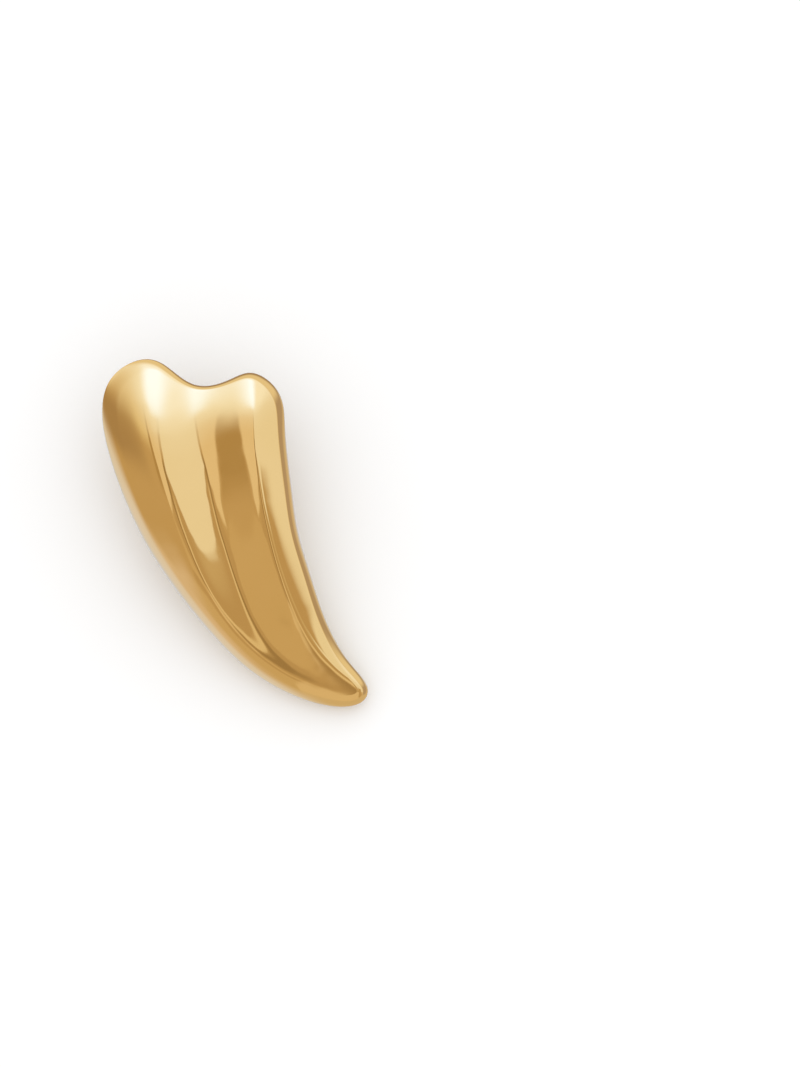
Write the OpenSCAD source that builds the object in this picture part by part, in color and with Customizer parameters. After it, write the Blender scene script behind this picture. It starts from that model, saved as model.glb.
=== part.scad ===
// Clip-on earring in the shape of a plump two-lobed horn with a clip on its flat back.
// It lies face up, on the clip's paddle and the underside of the tip.
// Units are millimetres. X runs across the horn, +Y to its lobes, +Z up from the ground.

/* [Horn] */
// Height of the horn as it is worn, from the lobes to the tip
horn_tall = 50; // [42:1:58]
// Height of the widest line above the flat back, at the lobes
edge_height = 3.2; // [2.9:0.1:3.5]
// The same height at the tip
tip_edge_height = 2.1; // [1.9:0.1:2.3]
// How far the face stands above the widest line, as a share of the listed heights
face_relief = 1; // [0.9:0.02:1.1]
// Roundness of the rim, 2 for a plain ellipse
rim_power = 2.1; // [2:0.1:2.4]
// Spokes of the face on each side of the valley
side_spokes = 72; // [48:4:80]

/* [Clip] */
// Angle between the paddle and the flat back
paddle_angle = 13; // [12:0.5:15]
// Distance of the clip's middle to the left of the horn's middle
clip_offset = 4.5; // [2:0.5:7]
// Distance from the hinge to the far end of the pad
paddle_long = 16.5; // [15:0.5:17.5]
// Thickness of the paddle
paddle_thick = 1; // [0.8:0.1:1.2]
// Width of the paddle at its hinge
paddle_wide = 6; // [5:0.5:6]
// Diameter of the round pad
pad_across = 9.4; // [8.5:0.1:10.5]
// Diameter of the knuckle that the paddle springs from
knuckle_across = 2.8; // [2.4:0.1:2.9]
// Thickness of the base plate
base_thick = 0.9; // [0.7:0.1:1.1]

/* [Hidden] */
size = horn_tall / 50;
steps = 2 * side_spokes;

// The outline seen from the front, clockwise from the upper left lobe, as the control
// points of a smooth closed curve. Columns: x, y, width of the rim, distance of the crest.
X = 0;
Y = 1;
RIM = 2;
CREST = 3;
OUTLINE = [
    [-18.54, 22.46, 2.3, 4.2],
    [-14.15, 25.34, 2.2, 3.8],
    [-10.38, 25.09, 1.4, 3.2],
    [-6.06, 20.43, 0.7, 2.6],
    [-0.71, 21.95, 0.8, 2.4],
    [2.48, 24.06, 1.3, 2.2],
    [7.29, 20.30, 1.3, 2.6],
    [7.04, 14.87, 1.0, 4.0],
    [8.19, 6.50, 1.0, 4.2],
    [8.88, 0.20, 1.0, 4.0],
    [10.92, -5.94, 1.0, 3.9],
    [12.74, -12.31, 1.1, 3.3],
    [15.97, -18.48, 1.4, 2.4],
    [19.96, -22.06, 1.6, 1.7],
    [18.29, -25.17, 1.6, 1.7],
    [12.54, -25.08, 1.9, 2.1],
    [5.96, -22.42, 1.9, 2.5],
    [0.63, -18.83, 1.9, 2.9],
    [-4.57, -13.23, 1.9, 3.4],
    [-8.66, -8.02, 1.9, 4.5],
    [-12.55, -2.23, 1.9, 5.7],
    [-15.55, 3.84, 2.0, 6.6],
    [-18.06, 10.68, 2.2, 6.2],
    [-19.50, 17.17, 2.4, 5.0]
];
// Places on the outline, counted in its rows: the notch, the tip, and where the lobes end
NOTCH_AT = 3.3;
TIP_AT = 13.5;
RIGHT_LOBE_END = 6.45;
LEFT_LOBE_END = 21.15;

// The face, in sections square to the line from the notch to the tip. Each section has
// its left ridge, its valley and its right ridge, as a distance across and a height above
// the back, then how soft they are and how much the outer flanks curve down.
LEAN = 29;
SECTION_FIRST = -30;
SECTION_STEP = 4;
HORN_RUN = 60;
LEFT_AT = 0;
LEFT_UP = 1;
VALLEY_AT = 2;
VALLEY_UP = 3;
RIGHT_AT = 4;
RIGHT_UP = 5;
SOFT = 6;
LEFT_BOW = 7;
RIGHT_BOW = 8;
SECTIONS = [
    [1.4, 4.2, 10.3, 1.5, 16.2, 0.8, 3.8, 0.14, 0.50],
    [-0.1, 6.3, 8.0, 2.5, 15.0, 2.2, 3.6, 0.18, 0.50],
    [-1.6, 7.6, 5.6, 4.0, 13.8, 4.0, 3.1, 0.28, 0.50],
    [-3.0, 8.45, 3.7, 5.35, 12.3, 6.1, 2.6, 0.39, 0.50],
    [-4.1, 8.85, 2.2, 6.3, 10.6, 7.6, 2.1, 0.52, 0.52],
    [-5.1, 8.9, 1.1, 6.8, 8.8, 8.1, 1.7, 0.58, 0.55],
    [-5.9, 8.7, -0.2, 6.9, 7.2, 8.2, 1.1, 0.60, 0.58],
    [-6.5, 8.4, -1.3, 6.9, 5.7, 8.15, 0.95, 0.57, 0.58],
    [-7.0, 8.0, -2.2, 6.7, 4.5, 7.95, 0.85, 0.52, 0.55],
    [-7.15, 7.4, -3.0, 6.45, 3.5, 7.5, 0.80, 0.47, 0.50],
    [-6.95, 6.7, -3.6, 6.1, 2.7, 7.0, 0.80, 0.43, 0.45],
    [-6.25, 6.1, -3.85, 5.7, 2.2, 6.4, 0.80, 0.40, 0.42],
    [-4.9, 5.55, -3.35, 5.35, 2.0, 5.75, 0.80, 0.40, 0.40],
    [-2.9, 5.1, -1.6, 5.0, 2.5, 5.2, 0.80, 0.40, 0.40],
    [0.0, 4.65, 1.4, 4.65, 3.9, 4.7, 0.80, 0.35, 0.35],
    [3.4, 4.2, 4.8, 4.2, 6.2, 4.2, 0.80, 0.35, 0.35]
];
// Slope of the outer flanks at the ridges, and how far out their curve takes to build up
LEFT_SLOPE = 0.2;
RIGHT_SLOPE = 0.3;
LEFT_REACH = 3.5;
RIGHT_REACH = 2;
// Where the valley's line of facets starts along the sections, and how short of the tip's
// crest it ends
VALLEY_FIRST = -15;
VALLEY_SHORT = 2;
// Share of the spokes that run over the lobes, and how many on each side of the tip meet
// the valley's end
LOBE_SHARE = 0.4;
TIP_SPOKES = 4;

// Rings of facets over the rounded back edge, the rim, the outer flank and the inner one
BACK_RINGS = 5;
RIM_RINGS = 6;
FLANK_RINGS = 5;
INNER_RINGS = 5;
RINGS = BACK_RINGS + RIM_RINGS + FLANK_RINGS + INNER_RINGS;

// Clip: width and length of the base plate, its two cheeks and the knuckle's place
BASE_WIDE = 8.4;
BASE_LONG = 9;
BASE_ROUND = 1.6;
CHEEK_THICK = 1;
CHEEK_FOOT = 5.2;
CHEEK_TOP = 2.9;
CHEEK_ACROSS = 3.2;
KNUCKLE_UP = 1.7;
KNUCKLE_ALONG = 24;
KNUCKLE_BITE = 0.5;
ARM_LONG = 12;
ARM_END_WIDE = 7.2;

// Weights of a uniform cubic spline at t between 0 and 1
function weights(t) = [
    pow(1 - t, 3) / 6,
    (3 * pow(t, 3) - 6 * t * t + 4) / 6,
    (-3 * pow(t, 3) + 3 * t * t + 3 * t + 1) / 6,
    pow(t, 3) / 6
];

// Slopes of the same weights
function slopes(t) = [
    -pow(1 - t, 2) / 2,
    (3 * t * t - 4 * t) / 2,
    (-3 * t * t + 2 * t + 1) / 2,
    t * t / 2
];

// A row of the closed outline, counted round and round
function outline_row(i) = OUTLINE[(i + len(OUTLINE)) % len(OUTLINE)];

function blend_rows(w, i) =
    w[0] * outline_row(i - 1) + w[1] * outline_row(i)
    + w[2] * outline_row(i + 1) + w[3] * outline_row(i + 2);

function outline_at(s) = blend_rows(weights(s - floor(s)), floor(s));
function outline_way(s) = blend_rows(slopes(s - floor(s)), floor(s));

// A row of the sections, carried straight on past both ends of the table
function section_row(i) =
    i < 0 ? 2 * SECTIONS[0] - SECTIONS[1]
    : i < len(SECTIONS) ? SECTIONS[i]
    : 2 * SECTIONS[len(SECTIONS) - 1] - SECTIONS[len(SECTIONS) - 2];

function section_blend(w, i) =
    w[0] * section_row(i - 1) + w[1] * section_row(i)
    + w[2] * section_row(i + 1) + w[3] * section_row(i + 2);

function section_at(along) =
    let (
        s = max(0, min((along - SECTION_FIRST) / SECTION_STEP, len(SECTIONS) - 1.001)),
        i = floor(s)
    )
    section_blend(weights(s - i), i);

// Distance of a point along and across the sections
function along(x, y) = x * sin(LEAN) - y * cos(LEAN);
function across(x, y) = x * cos(LEAN) + y * sin(LEAN);

// A flank that bends down beyond its ridge, by distance out
function bow(out, amount, reach) = amount * (sqrt(pow(max(0, out), 2) + reach * reach) - reach);

// Height of one section at distance a across: three soft creases between straight flanks
function section_height(r, a) =
    let (
        down = (r[VALLEY_UP] - r[LEFT_UP]) / (r[VALLEY_AT] - r[LEFT_AT]),
        up = (r[RIGHT_UP] - r[VALLEY_UP]) / (r[RIGHT_AT] - r[VALLEY_AT]),
        bends = [(down - LEFT_SLOPE) / 2, (up - down) / 2, (-RIGHT_SLOPE - up) / 2],
        tilt = (LEFT_SLOPE - RIGHT_SLOPE) / 2,
        places = [r[LEFT_AT], r[VALLEY_AT], r[RIGHT_AT]],
        soft = [for (c = places) sqrt(pow(a - c, 2) + r[SOFT] * r[SOFT])],
        sharp = [for (c = places) abs(r[VALLEY_AT] - c)]
    )
    r[VALLEY_UP] + tilt * (a - r[VALLEY_AT]) + bends * soft - bends * sharp
    - bow(r[LEFT_AT] - a, r[LEFT_BOW], LEFT_REACH)
    - bow(a - r[RIGHT_AT], r[RIGHT_BOW], RIGHT_REACH);

function face_height(x, y) = section_height(section_at(along(x, y)), across(x, y));

// Height of the widest line, falling evenly towards the tip
function edge_up(x, y) =
    edge_height + (tip_edge_height - edge_height) * (along(x, y) - SECTION_FIRST) / HORN_RUN;

// Share of its full height that the rim reaches at share t of its width
function rim_rise(t) = pow(1 - pow(1 - t, rim_power), 1 / 2);

// Place on the outline of the spoke at share u from the notch to the tip, by either side
function right_place(u) =
    u < LOBE_SHARE
    ? NOTCH_AT + (RIGHT_LOBE_END - NOTCH_AT) * u / LOBE_SHARE
    : RIGHT_LOBE_END + (TIP_AT - RIGHT_LOBE_END) * (u - LOBE_SHARE) / (1 - LOBE_SHARE);

function left_place(u) =
    u < LOBE_SHARE
    ? NOTCH_AT + len(OUTLINE) + (LEFT_LOBE_END - NOTCH_AT - len(OUTLINE)) * u / LOBE_SHARE
    : LEFT_LOBE_END + (TIP_AT - LEFT_LOBE_END) * (u - LOBE_SHARE) / (1 - LOBE_SHARE);

function spoke_place(i) =
    i <= side_spokes
    ? right_place(i / side_spokes)
    : left_place((steps - i) / side_spokes);

EDGE = [for (i = [0:steps - 1]) outline_at(spoke_place(i))];
INWARD = [
    for (i = [0:steps - 1])
        let (d = outline_way(spoke_place(i)), n = norm([d[X], d[Y]]))
        [d[Y] / n, -d[X] / n]
];

function edge_xy(i) = [EDGE[i][X], EDGE[i][Y]];
function crest_xy(i) = edge_xy(i) + EDGE[i][CREST] * INWARD[i];
function rim_xy(i, t) = edge_xy(i) + t * EDGE[i][RIM] * INWARD[i];

// Mean place along the sections of the two crests that face each other at spoke k
function crest_far(k) =
    let (right = crest_xy(k), left = crest_xy((steps - k) % steps))
    (along(right[X], right[Y]) + along(left[X], left[Y])) / 2;

LOBE_SPOKES = round(LOBE_SHARE * side_spokes);
LOBE_FAR = crest_far(LOBE_SPOKES);
TIP_FAR = crest_far(side_spokes);

// How far along the valley the two spokes k meet it
function valley_far(k) =
    k < LOBE_SPOKES
    ? VALLEY_FIRST + (LOBE_FAR - VALLEY_FIRST) * k / LOBE_SPOKES
    : crest_far(k) - VALLEY_SHORT * (crest_far(k) - LOBE_FAR) / (TIP_FAR - LOBE_FAR);

// How far across it lies, drawn to the middle between the ridges near the tip
function valley_off(k, r) =
    let (w = pow(k / side_spokes, 4))
    (1 - w) * r[VALLEY_AT] + w * (r[LEFT_AT] + r[RIGHT_AT]) / 2;

// The valley's line, spoke by spoke from the notch towards the tip
VALLEY_LAST = side_spokes - TIP_SPOKES;
VALLEY = [
    for (k = [0:VALLEY_LAST])
        let (far = valley_far(k), off = valley_off(k, section_at(far)))
        [far * sin(LEAN) + off * cos(LEAN), -far * cos(LEAN) + off * sin(LEAN)]
];

function valley_of(i) = VALLEY[min(i <= side_spokes ? i : steps - i, VALLEY_LAST)];

// Shares that gather the first rings near the edge
function gathered(j, n) = 1 - cos(90 * j / n);

// Shares that gather rings near both ends
function eased(t) = (1 - cos(180 * t)) / 2;

function lifted(p) =
    let (low = edge_up(p[X], p[Y]))
    [p[X], p[Y], low + face_relief * (face_height(p[X], p[Y]) - low)];

function ring_point(ring, i) =
    ring < BACK_RINGS
    ? let (t = gathered(BACK_RINGS - ring, BACK_RINGS), p = rim_xy(i, t))
        [p[X], p[Y], ring == 0 ? 0 : edge_up(p[X], p[Y]) * (1 - rim_rise(t))]
    : ring <= BACK_RINGS + RIM_RINGS
    ? let (
            t = gathered(ring - BACK_RINGS, RIM_RINGS),
            p = lifted(rim_xy(i, t)),
            low = edge_up(p[X], p[Y])
        )
        [p[X], p[Y], low + rim_rise(t) * (p[2] - low)]
    : ring <= BACK_RINGS + RIM_RINGS + FLANK_RINGS
    ? let (t = sin(90 * (ring - BACK_RINGS - RIM_RINGS) / FLANK_RINGS))
        lifted(rim_xy(i, 1) * (1 - t) + crest_xy(i) * t)
    : let (t = (ring - BACK_RINGS - RIM_RINGS - FLANK_RINGS) / (INNER_RINGS + 1))
        lifted(crest_xy(i) * (1 - t) + valley_of(i) * t);

HORN_POINTS = size * concat(
    [for (ring = [0:RINGS], i = [0:steps - 1]) ring_point(ring, i)],
    [for (p = VALLEY) lifted(p)]
);

function spot(ring, i) = ring * steps + i % steps;
function valley_spot(k) = (RINGS + 1) * steps + k;

// Two facets between spokes k and k + 1 and the valley, with their shared edge leaning
// away from the nearer end of the valley
function right_strip(k) =
    let (a = spot(RINGS, k), b = spot(RINGS, k + 1), c = valley_spot(k + 1), d = valley_spot(k))
    k < side_spokes / 2 ? [[a, b, d], [b, c, d]] : [[a, b, c], [a, c, d]];

function right_tip(k) = [spot(RINGS, k), spot(RINGS, k + 1), valley_spot(VALLEY_LAST)];

function left_strip(k) =
    let (
        a = spot(RINGS, steps - k - 1),
        b = spot(RINGS, steps - k),
        c = valley_spot(k),
        d = valley_spot(k + 1)
    )
    k < side_spokes / 2 ? [[a, b, c], [a, c, d]] : [[a, b, d], [b, c, d]];

function left_tip(k) =
    [spot(RINGS, steps - k - 1), spot(RINGS, steps - k), valley_spot(VALLEY_LAST)];

HORN_FACES = concat(
    [[for (i = [steps - 1:-1:0]) spot(0, i)]],
    [
        for (ring = [0:RINGS - 1], i = [0:steps - 1], half = [0, 1])
            half == 0
            ? [spot(ring, i), spot(ring, i + 1), spot(ring + 1, i + 1)]
            : [spot(ring, i), spot(ring + 1, i + 1), spot(ring + 1, i)]
    ],
    [for (k = [0:VALLEY_LAST - 1]) each right_strip(k)],
    [for (k = [VALLEY_LAST:side_spokes - 1]) right_tip(k)],
    [for (k = [0:VALLEY_LAST - 1]) each left_strip(k)],
    [for (k = [VALLEY_LAST:side_spokes - 1]) left_tip(k)]
);

// The horn leans on its tip, so its lowest point sets its height above the ground
LYING = [
    for (p = HORN_POINTS)
        [
            p[X],
            p[Y] * cos(paddle_angle) - p[2] * sin(paddle_angle),
            p[Y] * sin(paddle_angle) + p[2] * cos(paddle_angle)
        ]
];
ACROSS_ALL = [for (p = LYING) p[X]];
ALONG_ALL = [for (p = LYING) p[Y]];
MIDDLE_X = (min(ACROSS_ALL) + max(ACROSS_ALL)) / 2;
MIDDLE_Y = (min(ALONG_ALL) + max(ALONG_ALL)) / 2;
LIFT = -min([for (p = LYING) p[2]]);

// Where the plane of the flat back would meet the ground
BACK_FOOT = -MIDDLE_Y - LIFT / tan(paddle_angle);
KNUCKLE_Y = BACK_FOOT + KNUCKLE_ALONG * size;
BACK_ABOVE_KNUCKLE = (KNUCKLE_Y - BACK_FOOT) * tan(paddle_angle);
KNUCKLE_DEEP = (BACK_ABOVE_KNUCKLE - KNUCKLE_UP) * cos(paddle_angle);

module horn() {
    color([0.86, 0.68, 0.38])
    translate([-MIDDLE_X, -MIDDLE_Y, LIFT])
    rotate([paddle_angle, 0, 0])
    polyhedron(points = HORN_POINTS, faces = HORN_FACES, convexity = 6);
}

// Moves to the flat back, square to it above the knuckle
module on_back() {
    translate([
        -clip_offset,
        KNUCKLE_Y - KNUCKLE_DEEP * sin(paddle_angle),
        KNUCKLE_UP + KNUCKLE_DEEP * cos(paddle_angle)
    ])
    rotate([paddle_angle, 0, 0])
    children();
}

module base_plate() {
    translate([0, 0, -base_thick])
    linear_extrude(base_thick)
    union() {
        square([BASE_WIDE - 2 * BASE_ROUND, BASE_LONG], center = true);
        square([BASE_WIDE, BASE_LONG - 2 * BASE_ROUND], center = true);
        for (sx = [-1, 1], sy = [-1, 1])
            translate([sx * (BASE_WIDE / 2 - BASE_ROUND), sy * (BASE_LONG / 2 - BASE_ROUND)])
            circle(r = BASE_ROUND, $fn = 48);
    }
}

module cheek() {
    rotate([90, 0, 90])
    linear_extrude(CHEEK_THICK)
    polygon([
        [-CHEEK_FOOT / 2, -base_thick / 2],
        [CHEEK_FOOT / 2, -base_thick / 2],
        [CHEEK_TOP / 2, -KNUCKLE_DEEP],
        [-CHEEK_TOP / 2, -KNUCKLE_DEEP]
    ]);
    translate([0, 0, -KNUCKLE_DEEP])
    rotate([0, 90, 0])
    cylinder(d = CHEEK_ACROSS, h = CHEEK_THICK, $fn = 48);
}

module knuckle() {
    cheek_gap = BASE_WIDE - 2 * CHEEK_THICK;
    translate([0, 0, -KNUCKLE_DEEP])
    rotate([0, 90, 0])
    cylinder(d = knuckle_across, h = cheek_gap + 2 * KNUCKLE_BITE, center = true, $fn = 48);
}

module paddle() {
    pad_middle = paddle_long - pad_across / 2;
    translate([-clip_offset, KNUCKLE_Y, 0])
    linear_extrude(paddle_thick)
    union() {
        polygon([
            [-paddle_wide / 2, 0],
            [paddle_wide / 2, 0],
            [ARM_END_WIDE / 2, ARM_LONG],
            [-ARM_END_WIDE / 2, ARM_LONG]
        ]);
        translate([0, pad_middle])
        circle(d = pad_across, $fn = 96);
    }
}

module ear_clip() {
    color([0.80, 0.62, 0.34])
    union() {
        on_back() {
            base_plate();
            knuckle();
            translate([BASE_WIDE / 2 - CHEEK_THICK, 0, 0])
            cheek();
            translate([-BASE_WIDE / 2, 0, 0])
            cheek();
        }
        paddle();
    }
}

horn();
ear_clip();
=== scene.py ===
"""A clip-on earring: a plump gold horn with two lobes, and a clip on its flat back.

It lies face up on the clip's paddle and the underside of its tip. Sizes in the classes are
millimetres in the horn's own frame, where x runs across, y to the lobes and z out of the
flat back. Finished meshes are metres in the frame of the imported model.
"""

import logging
import math
from collections.abc import Sequence
from dataclasses import dataclass
from enum import Enum

import bmesh
import bpy
from bmesh.types import BMesh, BMVert
from bpy.types import ID, Material, Node, NodeSocket, NodeTree, Object, World
from mathutils import Matrix, Vector


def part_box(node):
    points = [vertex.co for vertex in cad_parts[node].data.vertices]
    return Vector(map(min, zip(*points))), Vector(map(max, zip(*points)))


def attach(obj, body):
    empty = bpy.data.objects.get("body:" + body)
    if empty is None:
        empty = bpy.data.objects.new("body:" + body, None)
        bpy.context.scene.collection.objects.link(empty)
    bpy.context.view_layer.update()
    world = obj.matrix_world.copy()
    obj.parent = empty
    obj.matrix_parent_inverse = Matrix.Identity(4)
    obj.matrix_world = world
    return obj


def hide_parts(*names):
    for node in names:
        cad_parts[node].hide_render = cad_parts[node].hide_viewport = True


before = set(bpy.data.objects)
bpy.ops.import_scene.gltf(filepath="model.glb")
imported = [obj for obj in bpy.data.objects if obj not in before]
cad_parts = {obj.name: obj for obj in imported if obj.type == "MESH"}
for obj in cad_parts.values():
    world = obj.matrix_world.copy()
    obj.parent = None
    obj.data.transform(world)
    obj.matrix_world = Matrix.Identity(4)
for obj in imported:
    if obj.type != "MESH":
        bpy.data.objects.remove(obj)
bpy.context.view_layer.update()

MM = 0.001
BODY = "root"
LOG = logging.getLogger("earring")

Colour = tuple[float, float, float]
Row = tuple[float, ...]
Spot = tuple[float, float]
# What a node's input takes, and a node's inputs by name or number.
Value = "Field | NodeSocket | float | int | str | tuple"
Inputs = "dict[str | int, Value] | None"


class Tree(Enum):
    """The kinds of node tree that are built here."""

    GEOMETRY = "GeometryNodeTree"
    SHADER = "ShaderNodeTree"


class Wiring:
    """Adds nodes to one tree and links them."""

    def __init__(self, tree: NodeTree) -> None:
        """Keeps the tree that the nodes go into."""
        self.tree = tree

    @classmethod
    def emptied(cls, owner: Material | World) -> "Wiring":
        """Empties the node tree of a material or a world, to wire it anew.

        Args:
            owner: The material or the world.

        Returns:
            The wiring of its tree.
        """
        owner.use_nodes = True
        owner.node_tree.nodes.clear()
        return cls(owner.node_tree)

    def feed(self, socket: NodeSocket, value: Value) -> None:
        """Links a value to a socket, or sets the socket to a plain number.

        Args:
            socket: The input that takes the value.
            value: A field, another node's output, or a plain value.
        """
        if isinstance(value, Field):
            value = value.socket
        if isinstance(value, NodeSocket):
            self.tree.links.new(value, socket)
        else:
            socket.default_value = value

    def node(self, kind: str, inputs: Inputs = None, **settings: object) -> Node:
        """Adds one node.

        Args:
            kind: Blender's name for the node.
            inputs: Values by the name or number of an input.
            settings: The node's own properties, set before its inputs.

        Returns:
            The new node.
        """
        made = self.tree.nodes.new(kind)
        for name, value in settings.items():
            setattr(made, name, value)
        for key, value in (inputs or {}).items():
            self.feed(self.pick(made.inputs, key), value)
        return made

    @staticmethod
    def pick(sockets: Sequence, key: str | int) -> NodeSocket:
        """The socket of that number, or the one in use of that name."""
        named = (s for s in sockets if s.name == key and s.enabled)
        return sockets[key] if isinstance(key, int) else next(named)

    def out(self, kind: str, inputs: Inputs = None, output: str | int = 0, **settings: object) -> "Field":
        """Adds one node and gives one of its outputs as a field."""
        return Field(self, self.pick(self.node(kind, inputs, **settings).outputs, output))

    def number(self, value: float) -> "Field":
        """A plain number as a field."""
        return self.out("ShaderNodeMath", {0: value, 1: 0.0}, operation="ADD")

    def split(self, vector: Value) -> tuple["Field", "Field", "Field"]:
        """The three parts of a vector."""
        x, y, z = self.node("ShaderNodeSeparateXYZ", {0: vector}).outputs
        return Field(self, x), Field(self, y), Field(self, z)

    def join(self, x: Value, y: Value, z: Value) -> "Field":
        """A vector made of three numbers."""
        return self.out("ShaderNodeCombineXYZ", {0: x, 1: y, 2: z})

    def column(self, name: Value) -> "Field":
        """A guide's column, by its name."""
        return self.out("GeometryNodeInputNamedAttribute", {"Name": name}, data_type="FLOAT_VECTOR")

    def row(self, table: Value, column: Value, index: Value) -> "Field":
        """The vector in one row of a guide's column."""
        inputs = {"Geometry": table, "Value": column, "Index": index}
        return self.out("GeometryNodeSampleIndex", inputs, data_type="FLOAT_VECTOR", clamp=True)

    def blend(self, share: Value, first: Value, second: Value, label: str = "") -> "Field":
        """A colour between two colours."""
        inputs = {"Factor": share, "A": first, "B": second}
        return self.out("ShaderNodeMix", inputs, "Result", data_type="RGBA", label=label)

    def scaled_sum(self, vectors: Sequence[Value], factors: Sequence[Value]) -> "Field":
        """The sum of some vectors, each times its own factor.

        Args:
            vectors: The vectors.
            factors: One number for each of them.

        Returns:
            The sum, as a vector.
        """
        total = None
        for vector, factor in zip(vectors, factors):
            part = self.out("ShaderNodeVectorMath", {0: vector, "Scale": factor}, operation="SCALE")
            if total is not None:
                part = self.out("ShaderNodeVectorMath", {0: total, 1: part}, operation="ADD")
            total = part
        return total


class Field:
    """A value on a node's output. Arithmetic on it adds Math nodes to its tree."""

    def __init__(self, wiring: Wiring, socket: NodeSocket) -> None:
        """Keeps the output and the wiring of its tree."""
        self.wiring = wiring
        self.socket = socket

    def math(self, operation: str, *others: Value) -> "Field":
        """One Math node with this value as its first input."""
        inputs = dict(enumerate((self, *others)))
        return self.wiring.out("ShaderNodeMath", inputs, operation=operation)

    def __add__(self, other: Value) -> "Field":
        """This value plus the other."""
        return self.math("ADD", other)

    __radd__ = __add__

    def __sub__(self, other: Value) -> "Field":
        """This value less the other."""
        return self.math("SUBTRACT", other)

    def __rsub__(self, other: Value) -> "Field":
        """The other value less this one."""
        return self.math("MULTIPLY_ADD", -1.0, other)

    def __mul__(self, other: Value) -> "Field":
        """This value times the other."""
        return self.math("MULTIPLY", other)

    __rmul__ = __mul__

    def __truediv__(self, other: Value) -> "Field":
        """This value over the other."""
        return self.math("DIVIDE", other)

    def __neg__(self) -> "Field":
        """This value with its sign changed."""
        return self.math("MULTIPLY", -1.0)

    def __abs__(self) -> "Field":
        """This value without its sign."""
        return self.math("ABSOLUTE")

    def power(self, exponent: Value) -> "Field":
        """This value to a power."""
        return self.math("POWER", exponent)

    def root(self) -> "Field":
        """The square root of this value."""
        return self.math("SQRT")

    def floor(self) -> "Field":
        """The whole number below this value."""
        return self.math("FLOOR")

    def at_least(self, low: Value) -> "Field":
        """This value, or low where it is less."""
        return self.math("MAXIMUM", low)

    def at_most(self, high: Value) -> "Field":
        """This value, or high where it is more."""
        return self.math("MINIMUM", high)

    def under(self, limit: Value) -> "Field":
        """One where this value is under the limit, and zero elsewhere."""
        return self.math("LESS_THAN", limit)

    def step(self, start: Value, end: Value) -> "Field":
        """A soft step from zero at start to one at end."""
        inputs = {"Value": self, "From Min": start, "From Max": end}
        return self.wiring.out("ShaderNodeMapRange", inputs, interpolation_type="SMOOTHSTEP")


def mix(share: Value, first: Value, second: Value) -> Value:
    """Between two values, by share: the first at zero and the second at one."""
    return first + share * (second - first)


def new_group(
    name: str, kind: Tree, inputs: dict[str, str], outputs: dict[str, str]
) -> tuple[Wiring, dict[str, Field], Node]:
    """Starts a node group with named sockets.

    Args:
        name: The group's name.
        kind: Whether it is for geometry or for shaders.
        inputs: Socket types, by the name of the input.
        outputs: Socket types, by the name of the output.

    Returns:
        The group's wiring, its inputs by name, and its output node.
    """
    tree = bpy.data.node_groups.new(name, kind.value)
    for side, sockets in (("INPUT", inputs), ("OUTPUT", outputs)):
        for label, socket in sockets.items():
            tree.interface.new_socket(label, in_out=side, socket_type="NodeSocket" + socket)
    wiring = Wiring(tree)
    given = wiring.node("NodeGroupInput")
    fields = {label: Field(wiring, given.outputs[label]) for label in inputs}
    return wiring, fields, wiring.node("NodeGroupOutput")


def added(name: str, data: ID) -> Object:
    """Puts new data, such as a mesh, into the scene as an object.

    Args:
        name: The object's name.
        data: The data.

    Returns:
        The object.
    """
    made = bpy.data.objects.new(name, data)
    bpy.context.scene.collection.objects.link(made)
    return made


@dataclass(frozen=True)
class Guide:
    """A short table of rows that a smooth curve is drawn through, kept as loose points.

    Attributes:
        name: The name of the points' object.
        columns: Names of the table's vector columns, three numbers each.
        rows: The rows, with the vectors' numbers one after another.
        closed: Whether the last row is followed by the first.
        BEFORE: How many rows are carried on before the first.
        AFTER: How many after the last, as a place may pass the table's end.
    """

    name: str
    columns: tuple[str, ...]
    rows: tuple[Row, ...]
    closed: bool

    BEFORE = 1
    AFTER = 7

    def row(self, index: int) -> Row:
        """A row, carried on past both ends of the table.

        Args:
            index: The row's number, which may lie outside the table.

        Returns:
            The row's numbers.
        """
        last = len(self.rows) - 1
        if self.closed:
            return self.rows[index % (last + 1)]
        if index < 0:
            return tuple(2 * a - b for a, b in zip(self.rows[0], self.rows[1]))
        if index > last:
            return tuple(2 * a - b for a, b in zip(self.rows[last], self.rows[last - 1]))
        return self.rows[index]

    def points(self) -> Object:
        """Makes the object that holds the table, one loose point a row.

        Returns:
            An object with one vector attribute for each column.
        """
        rows = [self.row(i) for i in range(-self.BEFORE, len(self.rows) + self.AFTER)]
        mesh = bpy.data.meshes.new(self.name)
        mesh.from_pydata([(float(i), 0.0, 0.0) for i in range(len(rows))], [], [])
        for place, column in enumerate(self.columns):
            values = mesh.attributes.new(column, "FLOAT_VECTOR", "POINT")
            flat = [v for row in rows for v in row[3 * place:3 * place + 3]]
            values.data.foreach_set("vector", flat)
        return added(self.name, mesh)


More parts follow.
